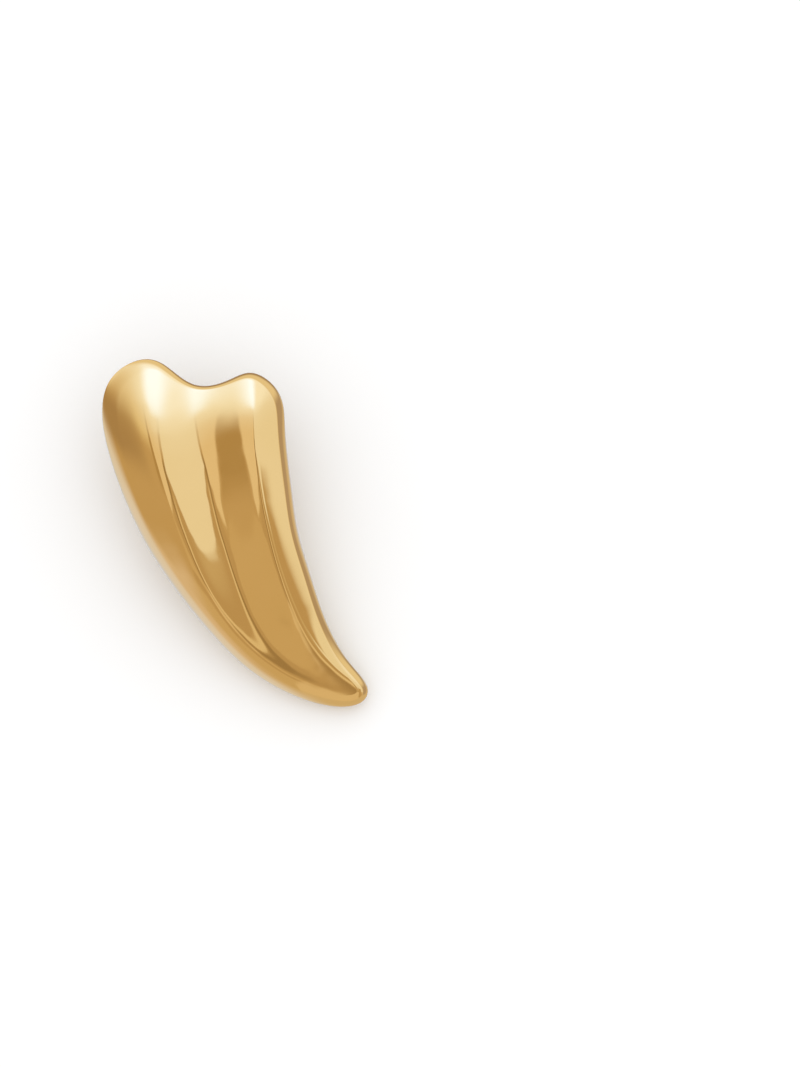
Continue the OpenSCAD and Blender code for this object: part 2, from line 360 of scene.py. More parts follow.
def curve_group() -> NodeTree:
    """Builds the geometry group that reads a guide's column along a uniform cubic B-spline.

    Returns:
        The group, which weighs four rows for the value and for the slope there.
    """
    sockets = {"Table": "Geometry", "Column": "String", "Place": "Float"}
    found = {"Value": "Vector", "Slope": "Vector"}
    wiring, given, out = new_group("Guide row", Tree.GEOMETRY, sockets, found)
    start = given["Place"].floor()
    t = given["Place"] - start
    u = 1.0 - t
    t2 = t * t
    t3 = t2 * t
    weights = [
        u * u * u / 6.0,
        (3.0 * t3 - 6.0 * t2 + 4.0) / 6.0,
        (3.0 * (t2 - t3) + 3.0 * t + 1.0) / 6.0,
        t3 / 6.0,
    ]
    slopes = [
        u * u * -0.5,
        (3.0 * t2 - 4.0 * t) / 2.0,
        (2.0 * t - 3.0 * t2 + 1.0) / 2.0,
        t2 / 2.0,
    ]
    column = wiring.column(given["Column"])
    rows = [wiring.row(given["Table"], column, start + float(k)) for k in range(len(weights))]
    wiring.feed(out.inputs["Value"], wiring.scaled_sum(rows, weights))
    wiring.feed(out.inputs["Slope"], wiring.scaled_sum(rows, slopes))
    return wiring.tree


@dataclass(frozen=True)
class Tables:
    """The guides in one geometry tree.

    Attributes:
        wiring: The tree's wiring.
        curve: The group that reads them.
        guides: The guides' geometry by name.
    """

    wiring: Wiring
    curve: NodeTree
    guides: dict[str, Field]

    def read(self, name: str, column: str, place: Field) -> Node:
        """Reads a guide's column at a place; the node has the outputs Value and Slope."""
        inputs = {"Table": self.guides[name], "Column": column, "Place": place}
        return self.wiring.node("GeometryNodeGroup", inputs, node_tree=self.curve)

    def split(self, name: str, column: str, place: Field) -> tuple[Field, Field, Field]:
        """The three numbers of a guide's column at a place."""
        return self.wiring.split(self.read(name, column, place).outputs["Value"])


@dataclass(frozen=True)
class Lie:
    """How the horn lies: turned by the clip's angle, with its lowest point on the ground."""

    angle: float = 13.0

    def turn(self) -> Matrix:
        """The turn from the horn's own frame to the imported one."""
        return Matrix.Rotation(math.radians(self.angle), 4, "X")


@dataclass(frozen=True)
class Relief:
    """The horn's face in sections square to the line from the notch to the tip.

    Attributes:
        lean: Angle between that line and the horn's length, in degrees.
        first: Place of the first section along the line.
        spacing: Distance from one section to the next.
        run: Length over which the widest line falls to its height at the tip.
        left_slope: Slope of the outer flank at the left ridge.
        right_slope: The same at the right ridge.
        left_reach: How far out the left flank takes to curve down.
        right_reach: The same for the right flank.
        edge: Height of the widest line at the lobes.
        tip_edge: The same height at the tip.
        inside: How far short of the last section a place is kept.
        sections: Left ridge, valley and right ridge across, their heights, then how soft
            they are and how much the two outer flanks curve down.
    """

    lean: float = 29.0
    first: float = -30.0
    spacing: float = 4.0
    run: float = 60.0
    left_slope: float = 0.2
    right_slope: float = 0.3
    left_reach: float = 3.5
    right_reach: float = 2.0
    edge: float = 3.2
    tip_edge: float = 2.1
    inside: float = 0.001
    sections: tuple[Row, ...] = (
        (1.4, 10.3, 16.2, 4.2, 1.5, 0.8, 3.8, 0.14, 0.50),
        (-0.1, 8.0, 15.0, 6.3, 2.5, 2.2, 3.6, 0.18, 0.50),
        (-1.6, 5.6, 13.8, 7.6, 4.0, 4.0, 3.1, 0.28, 0.50),
        (-3.0, 3.7, 12.3, 8.45, 5.35, 6.1, 2.6, 0.39, 0.50),
        (-4.1, 2.2, 10.6, 8.85, 6.3, 7.6, 2.1, 0.52, 0.52),
        (-5.1, 1.1, 8.8, 8.9, 6.8, 8.1, 1.7, 0.58, 0.55),
        (-5.9, -0.2, 7.2, 8.7, 6.9, 8.2, 1.1, 0.60, 0.58),
        (-6.5, -1.3, 5.7, 8.4, 6.9, 8.15, 0.95, 0.57, 0.58),
        (-7.0, -2.2, 4.5, 8.0, 6.7, 7.95, 0.85, 0.52, 0.55),
        (-7.15, -3.0, 3.5, 7.4, 6.45, 7.5, 0.80, 0.47, 0.50),
        (-6.95, -3.6, 2.7, 6.7, 6.1, 7.0, 0.80, 0.43, 0.45),
        (-6.25, -3.85, 2.2, 6.1, 5.7, 6.4, 0.80, 0.40, 0.42),
        (-4.9, -3.35, 2.0, 5.55, 5.35, 5.75, 0.80, 0.40, 0.40),
        (-2.9, -1.6, 2.5, 5.1, 5.0, 5.2, 0.80, 0.40, 0.40),
        (0.0, 1.4, 3.9, 4.65, 4.65, 4.7, 0.80, 0.35, 0.35),
        (3.4, 4.8, 6.2, 4.2, 4.2, 4.2, 0.80, 0.35, 0.35),
    )

    def guide(self) -> Guide:
        """The sections as a guide."""
        return Guide("horn_sections", ("across", "height", "form"), self.sections, closed=False)

    def along(self, x: Value, y: Value) -> Value:
        """Distance of a point along the line from the notch to the tip."""
        lean = math.radians(self.lean)
        return math.sin(lean) * x - math.cos(lean) * y

    def across(self, x: Value, y: Value) -> Value:
        """Distance of a point to the right of that line."""
        lean = math.radians(self.lean)
        return math.cos(lean) * x + math.sin(lean) * y

    def spot(self, along: Field, across: Field) -> tuple[Field, Field]:
        """The point at a distance along that line and to the right of it."""
        sine, cosine = math.sin(math.radians(self.lean)), math.cos(math.radians(self.lean))
        return sine * along + cosine * across, sine * across - cosine * along

    def place(self, along: Field) -> Field:
        """Where a distance along the line falls, counted in sections."""
        last = len(self.sections) - 1
        return ((along - self.first) / self.spacing).at_least(0.0).at_most(last - self.inside)

    def edge_height(self, x: Field, y: Field) -> Field:
        """Height of the widest line beside a point, falling evenly towards the tip."""
        share = (self.along(x, y) - self.first) / self.run
        return mix(share, self.edge, self.tip_edge)

    @staticmethod
    def bow(out: Field, amount: Field, reach: float) -> Field:
        """How far a flank has curved down, at a distance out from its ridge."""
        far = out.at_least(0.0)
        return amount * ((far * far + reach * reach).root() - reach)

    def group(self, curve: NodeTree) -> NodeTree:
        """Builds the geometry group that gives the face's height over any point.

        Args:
            curve: The group that reads the guide.

        Returns:
            The group, with the inputs Sections, X and Y and the output Height.
        """
        sockets = {"Sections": "Geometry", "X": "Float", "Y": "Float"}
        wiring, given, out = new_group("Face height", Tree.GEOMETRY, sockets, {"Height": "Float"})
        tables = Tables(wiring, curve, given)
        place = self.place(self.along(given["X"], given["Y"]))
        a = self.across(given["X"], given["Y"])
        left, valley, right = tables.split("Sections", "across", place)
        left_up, valley_up, right_up = tables.split("Sections", "height", place)
        soft, left_bow, right_bow = tables.split("Sections", "form", place)
        down = (valley_up - left_up) / (valley - left)
        up = (right_up - valley_up) / (right - valley)
        height = valley_up + (self.left_slope - self.right_slope) / 2.0 * (a - valley)
        bends = (
            (left, (down - self.left_slope) / 2.0),
            (valley, (up - down) / 2.0),
            (right, (-up - self.right_slope) / 2.0),
        )
        for crease, bend in bends:
            off = a - crease
            height = height + bend * ((off * off + soft * soft).root() - abs(valley - crease))
        height = height - self.bow(left - a, left_bow, self.left_reach)
        height = height - self.bow(a - right, right_bow, self.right_reach)
        wiring.feed(out.inputs["Height"], height)
        return wiring.tree


@dataclass(frozen=True)
class Outline:
    """The horn's outline seen from the front, clockwise from the upper left lobe.

    Attributes:
        notch: Place of the notch on the outline, counted in rows.
        tip: Place of the tip.
        right_end: Where the right lobe ends.
        left_end: Where the left lobe ends.
        lobe_share: Share of the spokes that run over the lobes.
        rows: x and y of each control point, the rim's width and the crest's distance.
    """

    notch: float = 3.3
    tip: float = 13.5
    right_end: float = 6.45
    left_end: float = 21.15
    lobe_share: float = 0.4
    rows: tuple[Row, ...] = (
        (-18.54, 22.46, 2.3, 4.2),
        (-14.15, 25.34, 2.2, 3.8),
        (-10.38, 25.09, 1.4, 3.2),
        (-6.06, 20.43, 0.7, 2.6),
        (-0.71, 21.95, 0.8, 2.4),
        (2.48, 24.06, 1.3, 2.2),
        (7.29, 20.30, 1.3, 2.6),
        (7.04, 14.87, 1.0, 4.0),
        (8.19, 6.50, 1.0, 4.2),
        (8.88, 0.20, 1.0, 4.0),
        (10.92, -5.94, 1.0, 3.9),
        (12.74, -12.31, 1.1, 3.3),
        (15.97, -18.48, 1.4, 2.4),
        (19.96, -22.06, 1.6, 1.7),
        (18.29, -25.17, 1.6, 1.7),
        (12.54, -25.08, 1.9, 2.1),
        (5.96, -22.42, 1.9, 2.5),
        (0.63, -18.83, 1.9, 2.9),
        (-4.57, -13.23, 1.9, 3.4),
        (-8.66, -8.02, 1.9, 4.5),
        (-12.55, -2.23, 1.9, 5.7),
        (-15.55, 3.84, 2.0, 6.6),
        (-18.06, 10.68, 2.2, 6.2),
        (-19.50, 17.17, 2.4, 5.0),
    )

    def guide(self) -> Guide:
        """The outline as a guide."""
        rows = tuple((x, y, 0.0, rim, crest, 0.0) for x, y, rim, crest in self.rows)
        return Guide("horn_outline", ("spot", "widths"), rows, closed=True)

    def places(self, share: Field) -> tuple[Field, Field]:
        """Places on the right and left side of the outline, at a share from notch to tip.

        Args:
            share: The share of the way, from zero at the notch to one at the tip.

        Returns:
            The place by the right side and the place by the left side.
        """
        over_lobe = share.at_most(self.lobe_share) / self.lobe_share
        beyond = (share - self.lobe_share).at_least(0.0) / (1.0 - self.lobe_share)
        sides = ((self.notch, self.right_end), (self.notch + len(self.rows), self.left_end))
        right, left = (a + (b - a) * over_lobe + (self.tip - b) * beyond for a, b in sides)
        return right, left


@dataclass(frozen=True)
class Spoke:
    """What a place on the outline gives: the edge, the way inward, the rim and the crest."""

    x: Field
    y: Field
    in_x: Field
    in_y: Field
    rim: Field
    crest: Field

    def inward(self, distance: Value) -> tuple[Field, Field]:
        """The point at a distance in from the edge."""
        return self.x + distance * self.in_x, self.y + distance * self.in_y

    def crest_point(self) -> tuple[Field, Field]:
        """The point on the crest."""
        return self.inward(self.crest)


@dataclass(frozen=True)
class Rings:
    """Rings of the horn's mesh, from the flat back's middle over the edge to the valley.

    Attributes:
        back: Rings over the flat back.
        round_back: Rings over the rounded back edge.
        rim: Rings over the rim.
        flank: Rings from the rim to the crest.
        inner: Rings from the crest to the valley.
    """

    back: int = 4
    round_back: int = 9
    rim: int = 18
    flank: int = 16
    inner: int = 44

    @staticmethod
    def gathered(count: int) -> list[float]:
        """Shares from near zero to one, gathered at zero, for a rounded edge."""
        return [1.0 - math.cos(math.pi / 2 * (k + 1) / count) for k in range(count)]

    @staticmethod
    def even(count: int) -> list[float]:
        """Shares in even steps up to one."""
        return [(k + 1) / count for k in range(count)]

    def guide(self) -> Guide:
        """The rings as a guide.

        Returns:
            A guide with the share of the rim's width, the share of the way to the crest and
            of the way to the valley, and the side: one on the face and zero on the back.
        """
        edge = [0.0, *self.gathered(self.round_back)]
        face = [(t, 0.0, 0.0, 1.0) for t in self.gathered(self.rim)]
        face += [(1.0, t, 0.0, 1.0) for t in self.even(self.flank)]
        face += [(1.0, 1.0, t, 1.0) for t in self.even(self.inner)]
        back = [(t, 0.0, 0.0, 0.0) for t in edge]
        back += [(1.0, t, t, 0.0) for t in self.even(self.back)]
        rows = tuple((*ways, side, 0.0, 0.0) for *ways, side in [*reversed(back), *face])
        return Guide("horn_rings", ("ways", "side"), rows, closed=False)


@dataclass
class Horn:
    """The horn: one closed skin, rounded over its edge, with two ridges and a valley.

    Attributes:
        outline: Its outline.
        relief: Its face.
        rings: The rings of its mesh.
        lie: How it lies.
        side_spokes: Spokes of the mesh on each side of the valley.
        rim_power: Roundness of the rim, two for a plain ellipse.
        valley_first: Where the mesh's line along the valley starts.
        valley_short: How short of it the valley's line ends.
        tip_spokes: Share of the spokes that meet the valley's end.
        centring: How late the mesh's line along the valley turns to the middle of the tip.
        ripple: Height of the polisher's faint waves.
        ripple_scale: Waves to a millimetre.
        ripple_detail: How many finer waves ride on them.
        seed: Which waves are drawn.
    """

    outline: Outline
    relief: Relief
    rings: Rings
    lie: Lie
    side_spokes: int = 470
    rim_power: float = 2.1
    valley_first: float = -15.0
    valley_short: float = 2.0
    tip_spokes: float = 0.05
    centring: float = 4.0
    ripple: float = 0.07
    ripple_scale: float = 0.13
    ripple_detail: float = 2.0
    seed: float = 3.0

    NAME = "horn_skin"
    NODE = "horn"
    SLOT = "horn_gold"
    GUIDES = ("Outline", "Sections", "Rings")
    MERGE = 0.0005

    @staticmethod
    def spoke(tables: Tables, place: Field) -> Spoke:
        """Reads the outline at one place.

        Args:
            tables: The guides.
            place: The place, counted in rows.

        Returns:
            The edge, the way inward, the rim's width and the crest's distance there.
        """
        spot = tables.read("Outline", "spot", place)
        x, y, _ = tables.wiring.split(spot.outputs["Value"])
        way_x, way_y, _ = tables.wiring.split(spot.outputs["Slope"])
        rim, crest, _ = tables.split("Outline", "widths", place)
        length = (way_x * way_x + way_y * way_y).root()
        return Spoke(x, y, way_y / length, -(way_x / length), rim, crest)

    def crest_far(self, tables: Tables, share: Field) -> Field:
        """How far along the sections the two crests at a share lie on average."""
        right, left = (self.spoke(tables, place).crest_point() for place in self.outline.places(share))
        return (self.relief.along(*right) + self.relief.along(*left)) / 2.0

    def valley(self, tables: Tables, share: Field) -> tuple[Field, Field]:
        """The point of the valley's line that the spokes at a share meet.

        Args:
            tables: The guides.
            share: The spokes' share of the way from the notch to the tip.

        Returns:
            The point's x and y.
        """
        share = share.at_most(1.0 - self.tip_spokes)
        ends = [tables.wiring.number(end) for end in (self.outline.lobe_share, 1.0)]
        lobe_far, tip_far = (self.crest_far(tables, end) for end in ends)
        crest_far = self.crest_far(tables, share)
        reach = (crest_far - lobe_far) / (tip_far - lobe_far)
        by_crest = crest_far - self.valley_short * reach
        by_lobe = mix(share / self.outline.lobe_share, self.valley_first, lobe_far)
        far = mix(share.under(self.outline.lobe_share), by_crest, by_lobe)
        left, middle, right = tables.split("Sections", "across", self.relief.place(far))
        off = mix(share.power(self.centring), middle, (left + right) / 2.0)
        return self.relief.spot(far, off)

    def vertex(self, tables: Tables, given: dict[str, Field], per_ring: Field) -> Field:
        """Works out where each vertex of the grid goes, by its ring and its spoke.

        Args:
            tables: The guides.
            given: The tree's inputs by name.
            per_ring: How many vertices a ring has.

        Returns:
            The vertex's place, in millimetres.
        """
        wiring = tables.wiring
        index = wiring.out("GeometryNodeInputIndex")
        ring = ((index + 0.5) / per_ring).floor()
        number = index - ring * per_ring
        share = 1.0 - abs(number / given["Spokes a side"] - 1.0)
        on_right = number.under(given["Spokes a side"] + 0.5)
        right, left = self.outline.places(share)
        spoke = self.spoke(tables, mix(on_right, left, right))
        rings, row = tables.guides["Rings"], ring + float(Guide.BEFORE)
        ways, side = (wiring.row(rings, wiring.column(name), row) for name in ("ways", "side"))
        in_rim, to_crest, to_valley = wiring.split(ways)
        face, _, _ = wiring.split(side)

        x, y = spoke.inward(mix(to_crest, in_rim * spoke.rim, spoke.crest))
        valley_x, valley_y = self.valley(tables, share)
        x, y = mix(to_valley, x, valley_x), mix(to_valley, y, valley_y)

        over = {"Sections": tables.guides["Sections"], "X": x, "Y": y}
        height = wiring.out("GeometryNodeGroup", over, node_tree=self.relief.group(tables.curve))
        drawn = {
            "Vector": wiring.join(x, y, 0.0),
            "W": given["Seed"],
            "Scale": given["Ripple scale"],
            "Detail": self.ripple_detail,
        }
        waves = wiring.out("ShaderNodeTexNoise", drawn, noise_dimensions="4D")
        low = self.relief.edge_height(x, y)
        rise = (1.0 - (1.0 - in_rim).power(given["Rim power"])).at_least(0.0).root()
        top = height + given["Ripple"] * (waves - 0.5)
        return wiring.join(x, y, low + rise * (face * top - low))

    def tree(self) -> NodeTree:
        """Builds the geometry tree that makes the skin from the three guides.

        Returns:
            The tree, whose last nodes realize instances and set the material.
        """
        counts = ("Ring count", "Spokes a side")
        numbers = ("Rim power", "Ripple", "Ripple scale", "Seed", "Lie angle", "Unit")
        sockets = dict.fromkeys(self.GUIDES, "Object") | dict.fromkeys(counts, "Int")
        sockets |= dict.fromkeys(numbers, "Float") | {"Finish": "Material"}
        wiring, given, out = new_group("Horn skin", Tree.GEOMETRY, sockets, {"Geometry": "Geometry"})
        guides = {
            name: wiring.out("GeometryNodeObjectInfo", {"Object": given[name]}, "Geometry")
            for name in self.GUIDES
        }
        tables = Tables(wiring, curve_group(), guides)
        per_ring = given["Spokes a side"] * 2.0 + 1.0
        size = {"Vertices X": given["Ring count"], "Vertices Y": per_ring}
        grid = wiring.out("GeometryNodeMeshGrid", size)
        spot = self.vertex(tables, given, per_ring)
        placed = wiring.out("GeometryNodeSetPosition", {"Geometry": grid, "Position": spot})
        merged = wiring.out("GeometryNodeMergeByDistance", {"Geometry": placed, "Distance": self.MERGE})
        turn = wiring.join(given["Lie angle"], 0.0, 0.0)
        scale = wiring.join(*(given["Unit"],) * 3)
        laid = wiring.out("GeometryNodeTransform", {"Geometry": merged, "Rotation": turn, "Scale": scale})
        smooth = wiring.out("GeometryNodeSetShadeSmooth", {"Geometry": laid})
        real = wiring.out("GeometryNodeRealizeInstances", {"Geometry": smooth})
        dressed = wiring.out("GeometryNodeSetMaterial", {"Geometry": real, "Material": given["Finish"]})
        wiring.feed(out.inputs["Geometry"], dressed)
        return wiring.tree

    def build(self, finish: Material) -> tuple[Object, Vector]:
        """Makes the skin and seats it where the solid horn lies.

        Args:
            finish: The gold that it wears.

        Returns:
            The finished piece, and where the horn's own origin lies.
        """
        guides = [part.guide() for part in (self.outline, self.relief, self.rings)]
        tables = [guide.points() for guide in guides]
        values = dict(zip(self.GUIDES, tables)) | {
            "Ring count": len(guides[-1].rows),
            "Spokes a side": self.side_spokes,
            "Rim power": self.rim_power,
            "Ripple": self.ripple,
            "Ripple scale": self.ripple_scale,
            "Seed": self.seed,
            "Lie angle": math.radians(self.lie.angle),
            "Unit": MM,
            "Finish": finish,
        }
        piece = grown(self.NAME, self.tree(), values)
        for spare in tables:
            bpy.data.meshes.remove(spare.data)
        seat = seat_in(piece, *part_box(self.NODE))
        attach(piece, BODY)
        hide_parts(self.NODE)
        return piece, seat


def grown(name: str, tree: NodeTree, values: dict) -> Object:
    """Runs a geometry tree and keeps what it makes as a plain mesh.

    Args:
        name: The new object's name.
        tree: The geometry tree.
        values: The tree's inputs by name.

    Returns:
        An object with the mesh and no modifier.
    """
    piece = added(name, bpy.data.meshes.new(name))
    modifier = piece.modifiers.new(tree.name, "NODES")
    modifier.node_group = tree
    for item in tree.interface.items_tree:
        if item.in_out == "INPUT":
            modifier[item.identifier] = values[item.name]
    piece.update_tag()
    graph = bpy.context.evaluated_depsgraph_get()
    mesh = bpy.data.meshes.new_from_object(piece.evaluated_get(graph))
    piece.modifiers.clear()
    piece.data = mesh
    mesh.name = name
    return piece


def seat_in(piece: Object, low: Vector, high: Vector) -> Vector:
    """Moves a piece's mesh so that it stands in the middle and on the floor of a box.

    Args:
        piece: The piece.
        low: The box's lowest corner.
        high: The box's highest corner.

    Returns:
        How far it has moved.
    """
    spots = [v.co for v in piece.data.vertices]
    least, most = (Vector(end(s[k] for s in spots) for k in range(3)) for end in (min, max))
    shift = (low + high - least - most) / 2
    shift.z = low.z - least.z
    piece.data.transform(Matrix.Translation(shift))
    return shift


def moved(x: float, y: float, z: float) -> Matrix:
    """A plain move."""
    return Matrix.Translation((x, y, z))


def arc(radius: float, start: float, turn: float, steps: int, middle: Spot) -> list[Spot]:
    """Points on an arc, with both of its ends.

    Args:
        radius: Its radius.
        start: The angle where it starts.
        turn: How far it turns, less than zero for clockwise.
        steps: The number of its steps.
        middle: Its centre.

    Returns:
        The points' x and y.
    """
    angles = [start + turn * k / steps for k in range(steps + 1)]
    return [(middle[0] + radius * math.cos(a), middle[1] + radius * math.sin(a)) for a in angles]


@dataclass
class EarClip:
    """The clip: a base plate on the flat back, two cheeks, a knuckle and the paddle.

    Attributes:
        lie: How the horn lies, which sets the angle between the back and the paddle.
        offset: Distance of the clip's middle to the left of the horn's middle.
        knuckle_y: Where the knuckle lies, from the middle of the footprint.
        knuckle_up: Height of the knuckle's middle over the ground.
        knuckle_deep: Distance of the knuckle's middle from the flat back.
        rivet: The pin's end, by its share of the pin's radius and its height over the cheek.
        pad_rings: The pad's face, by its share of the pad's radius and its height.
    """

    lie: Lie
    offset: float = 4.5
    knuckle_y: float = 1.710
    knuckle_up: float = 1.7
    knuckle_deep: float = 3.742
    knuckle_across: float = 2.8
    cheek_across: float = 3.2
    cheek_thick: float = 1.0
    cheek_foot: float = 5.2
    base_wide: float = 8.4
    base_long: float = 9.0
    base_thick: float = 0.9
    base_round: float = 1.6
    paddle_long: float = 16.5
    paddle_thick: float = 1.0
    paddle_wide: float = 6.0
    arm_end_wide: float = 7.2
    pad_across: float = 9.4
    pin_across: float = 1.5
    edge_round: float = 0.22
    rivet: tuple[Spot, ...] = (
        (1.0, -0.4), (1.0, 0.04), (0.92, 0.09), (0.7, 0.13), (0.35, 0.15), (0.02, 0.155),
    )
    pad_rings: tuple[Spot, ...] = (
        (0.9, -0.4), (0.94, 0.02), (0.9, 0.07), (0.82, 0.07), (0.78, 0.0), (0.58, -0.01),
        (0.54, 0.06), (0.46, 0.06), (0.42, -0.02), (0.2, -0.04), (0.02, -0.04),
    )

    NAME = "clip_metal"
    NODE = "ear_clip"
    SLOT = "clip_gold"
    SIDES = 64
    CORNER_STEPS, CHEEK_STEPS, PAD_STEPS, EDGE_STEPS = 8, 16, 48, 3
    EDGE_PROFILE = 0.6
    SHARP_OVER = math.radians(50.0)
    SMOOTH_UNDER = math.radians(40.0)

    def on_back(self) -> Matrix:
        """Finds the place on the flat back, square to it above the knuckle.

        Returns:
            The move from the back's own frame, in millimetres.
        """
        angle = math.radians(self.lie.angle)
        y = self.knuckle_y - self.knuckle_deep * math.sin(angle)
        z = self.knuckle_up + self.knuckle_deep * math.cos(angle)
        return moved(-self.offset, y, z) @ self.lie.turn()

    def base_outline(self) -> list[Spot]:
        """Draws the base plate's outline, a rectangle with round corners.

        Returns:
            The points' x and y.
        """
        x, y = self.base_wide / 2 - self.base_round, self.base_long / 2 - self.base_round
        quarter = math.pi / 2
        spots = []
        for turn, corner in enumerate(((x, y), (-x, y), (-x, -y), (x, -y))):
            spots += arc(self.base_round, turn * quarter, quarter, self.CORNER_STEPS, corner)
        return spots

    def cheek_outline(self) -> list[Spot]:
        """Draws a cheek's outline.

        Returns:
            The points' distances along the back and out from it.
        """
        lower = arc(self.cheek_across / 2, 0.0, -math.pi, self.CHEEK_STEPS, (0.0, -self.knuckle_deep))
        foot = -self.base_thick / 2
        return [(self.cheek_foot / 2, foot), *lower, (-self.cheek_foot / 2, foot)]

    def paddle_outline(self) -> list[Spot]:
        """Draws the paddle's outline: a tapered arm that runs into the round pad.

        Returns:
            The points' x and y.
        """
        radius = self.pad_across / 2
        middle = self.paddle_long - radius
        half = self.arm_end_wide / 2
        start = -math.asin(math.sqrt(max(0.0, 1 - (half / radius) ** 2)))
        round_end = arc(radius, start, math.pi - 2 * start, self.PAD_STEPS, (0.0, middle))
        return [(-self.paddle_wide / 2, 0.0), (self.paddle_wide / 2, 0.0), *round_end]

    def slab(self, outline: Sequence[Spot], thick: float, place: Matrix) -> BMesh:
        """A flat piece with rounded edges.

        Args:
            outline: The outline in the piece's own x and y, anticlockwise.
            thick: How far it is drawn out along its own z.
            place: Where it goes, in millimetres.

        Returns:
            The closed shell.
        """
        shell = bmesh.new()
        base = shell.faces.new([shell.verts.new((x, y, 0.0)) for x, y in outline])
        raised = bmesh.ops.extrude_face_region(shell, geom=[base])["geom"]
        top = [v for v in raised if isinstance(v, BMVert)]
        bmesh.ops.translate(shell, verts=top, vec=(0.0, 0.0, thick))
        bmesh.ops.recalc_face_normals(shell, faces=shell.faces)
        bmesh.ops.bevel(
            shell,
            geom=[e for e in shell.edges if e.calc_face_angle(0.0) > self.SHARP_OVER],
            offset=self.edge_round,
            segments=self.EDGE_STEPS,
            profile=self.EDGE_PROFILE,
            affect="EDGES",
            clamp_overlap=True,
        )
        bmesh.ops.transform(shell, matrix=place, verts=shell.verts)
        return shell

    def lathe(self, profile: Sequence[Spot], place: Matrix) -> BMesh:
        """A turned piece, closed at both ends of its profile.

        Args:
            profile: Radius and height along the axis, from one end to the other.
            place: Where it goes, in millimetres.

        Returns:
            The closed shell.
        """
        shell = bmesh.new()
        hoops = []
        for radius, up in profile:
            hoop = arc(radius, 0.0, 2 * math.pi, self.SIDES, (0.0, 0.0))[:-1]
            hoops.append([shell.verts.new((x, y, up)) for x, y in hoop])
        for low, high in zip(hoops, hoops[1:]):
            for k in range(self.SIDES):
                after = (k + 1) % self.SIDES
                shell.faces.new((low[k], low[after], high[after], high[k]))
        shell.faces.new(list(reversed(hoops[0])))
        shell.faces.new(hoops[-1])
        bmesh.ops.recalc_face_normals(shell, faces=shell.faces)
        bmesh.ops.transform(shell, matrix=place, verts=shell.verts)
        return shell

    def barrel(self) -> BMesh:
        """Makes the knuckle that the paddle springs from, between the two cheeks.

        Returns:
            The closed shell.
        """
        radius = self.knuckle_across / 2
        half = self.base_wide / 2 - self.cheek_thick
        lip = self.edge_round
        profile = [(radius - lip, -half), (radius, lip - half), (radius, half - lip), (radius - lip, half)]
        turn = Matrix.Rotation(math.pi / 2, 4, "Y")
        return self.lathe(profile, moved(-self.offset, self.knuckle_y, self.knuckle_up) @ turn)

    def pin_head(self, side: int) -> BMesh:
        """Makes one end of the hinge pin, riveted over a cheek's outer face.

        Args:
            side: One for the right cheek and minus one for the left.

        Returns:
            The closed shell.
        """
        profile = [(self.pin_across / 2 * share, up) for share, up in self.rivet]
        turn = Matrix.Rotation(side * math.pi / 2, 4, "Y")
        spot = moved(side * self.base_wide / 2 - self.offset, self.knuckle_y, self.knuckle_up)
        return self.lathe(profile, spot @ turn)

    def pad_face(self) -> BMesh:
        """Makes the pad's dished face, with two raised rings that keep it from slipping.

        Returns:
            The closed shell.
        """
        radius = self.pad_across / 2
        profile = [(radius * share, up) for share, up in self.pad_rings]
        spot = moved(-self.offset, self.knuckle_y + self.paddle_long - radius, self.paddle_thick)
        return self.lathe(profile, spot)

    def build(self, finish: Material) -> Object:
        """Makes the clip as one piece.

        Args:
            finish: The gold that it wears.

        Returns:
            The finished piece.
        """
        back = self.on_back()
        side = Matrix(((0, 0, 1, 0), (1, 0, 0, 0), (0, 1, 0, 0), (0, 0, 0, 1)))
        half = self.base_wide / 2
        cheeks = [back @ moved(x, 0.0, 0.0) @ side for x in (-half, half - self.cheek_thick)]
        shells = [
            self.slab(self.base_outline(), self.base_thick, back @ moved(0.0, 0.0, -self.base_thick)),
            *(self.slab(self.cheek_outline(), self.cheek_thick, cheek) for cheek in cheeks),
            self.slab(self.paddle_outline(), self.paddle_thick, moved(-self.offset, self.knuckle_y, 0.0)),
            self.barrel(),
            self.pin_head(1),
            self.pin_head(-1),
            self.pad_face(),
        ]
        piece = joined(self.NAME, shells)
        piece.data.transform(Matrix.Scale(MM, 4))
        piece.data.materials.append(finish)
        piece.data.shade_smooth()
        piece.data.set_sharp_from_angle(angle=self.SMOOTH_UNDER)
        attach(piece, BODY)
        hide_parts(self.NODE)
        return piece


def joined(name: str, shells: Sequence[BMesh]) -> Object:
    """Puts closed shells into one mesh object and frees them.

    Args:
        name: The object's name.
        shells: The shells.

    Returns:
        The object.
    """
    whole = bmesh.new()
    for shell in shells:
        part = bpy.data.meshes.new(name)
        shell.to_mesh(part)
        shell.free()
        whole.from_mesh(part)
        bpy.data.meshes.remove(part)
    mesh = bpy.data.meshes.new(name)
    whole.to_mesh(mesh)
    whole.free()
    return added(name, mesh)


